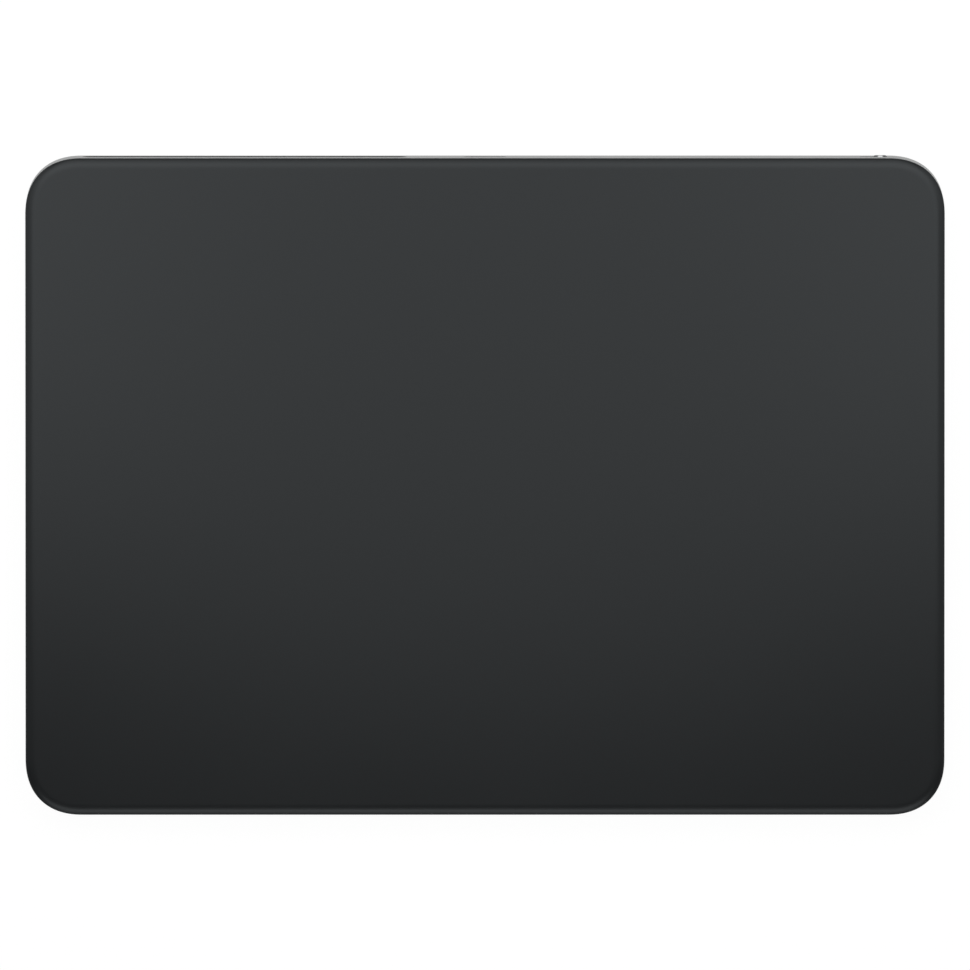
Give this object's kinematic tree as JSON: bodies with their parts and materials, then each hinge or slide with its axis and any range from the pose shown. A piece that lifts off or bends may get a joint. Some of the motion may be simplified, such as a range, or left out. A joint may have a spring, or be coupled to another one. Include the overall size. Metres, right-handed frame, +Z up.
{
  "type": "trackpad",
  "caption": "Sloping desk trackpad with a black satin glass surface on a thin silver aluminium housing, rubber feet, a rear charging port and a slide power switch.",
  "frame": {"origin": "on the desk, under the middle of the part's box", "axes": "+X to the user's right, +Y to the rear, +Z up; the glass slopes down to the front, -Y"},
  "size_m": [0.16, 0.1148, 0.0109],
  "materials": {
    "satin_glass": "satin",
    "silver_aluminium": "satin",
    "cover_plastic": "matte",
    "window_plastic": "satin",
    "foot_rubber": "matte",
    "knob_aluminium": "satin",
    "indicator_film": "satin",
    "port_steel": "satin",
    "black_plastic": "matte",
    "contact_gold": "polished",
    "adhesive": "matte",
    "circuit_board": "satin",
    "ribbon": "satin",
    "screw_steel": "satin",
    "spring_steel": "satin",
    "gauge_film": "satin",
    "copper": "satin",
    "battery_foil": "matte",
    "white_tape": "matte",
    "actuator_steel": "satin",
    "magnet": "satin"
  },
  "bodies": {
    "base": {"cover_glass": "satin_glass", "glass_bond": "adhesive", "touch_sensor_board": "circuit_board", "sensor_bond": "adhesive", "touch_ribbon": "ribbon", "housing": "silver_aluminium", "bottom_cover": "cover_plastic", "cover_bond": "adhesive", "leaf_screws": "screw_steel", "gauge_ribbon": "ribbon", "antenna_window": "window_plastic", "antenna_strip": "copper", "antenna_cable": "black_plastic", "port_shell": "port_steel", "port_insert": "black_plastic", "port_contacts": "contact_gold", "port_board": "circuit_board", "port_bracket": "port_steel", "port_screws": "screw_steel", "port_ribbon": "ribbon", "switch_body": "black_plastic", "switch_board": "circuit_board", "switch_screws": "screw_steel", "switch_ribbon": "ribbon", "battery_cell": "battery_foil", "battery_tape": "white_tape", "protection_board": "circuit_board", "battery_ribbon": "ribbon", "logic_board": "circuit_board", "wireless_shield": "port_steel", "logic_chips": "black_plastic", "board_connectors": "white_tape", "board_screws": "screw_steel", "haptic_frame": "actuator_steel", "haptic_coils": "copper", "haptic_springs": "spring_steel", "haptic_lid_plate": "actuator_steel", "haptic_screws": "screw_steel", "haptic_ribbon": "ribbon", "foot_pad_front_left": "foot_rubber", "foot_pad_front_right": "foot_rubber", "foot_pad_rear_left": "foot_rubber", "foot_pad_rear_right": "foot_rubber", "foot_carrier_front_left": "spring_steel", "foot_carrier_front_right": "spring_steel", "foot_carrier_rear_left": "spring_steel", "foot_carrier_rear_right": "spring_steel", "leaf_spring_front_left": "spring_steel", "leaf_spring_front_right": "spring_steel", "leaf_spring_rear_left": "spring_steel", "leaf_spring_rear_right": "spring_steel", "strain_gauge_front_left": "gauge_film", "strain_gauge_front_right": "gauge_film", "strain_gauge_rear_left": "gauge_film", "strain_gauge_rear_right": "gauge_film"},
    "power_slider": {"switch_knob": "knob_aluminium", "switch_film": "indicator_film"},
    "haptic_slider": {"haptic_mass": "actuator_steel", "haptic_magnets": "magnet"}
  },
  "joints": [
    {"name": "power_switch_slide", "type": "slide", "parent": "base", "child": "power_slider", "axis": [1, 0, 0], "range_m": [-0.0024, 0]},
    {"name": "haptic_slide", "type": "slide", "parent": "base", "child": "haptic_slider", "axis": [1, 0, 0], "range_m": [-0.0003, 0.0003], "stiffness_N_per_m": 5000, "deforming": ["haptic_springs"]}
  ]
}
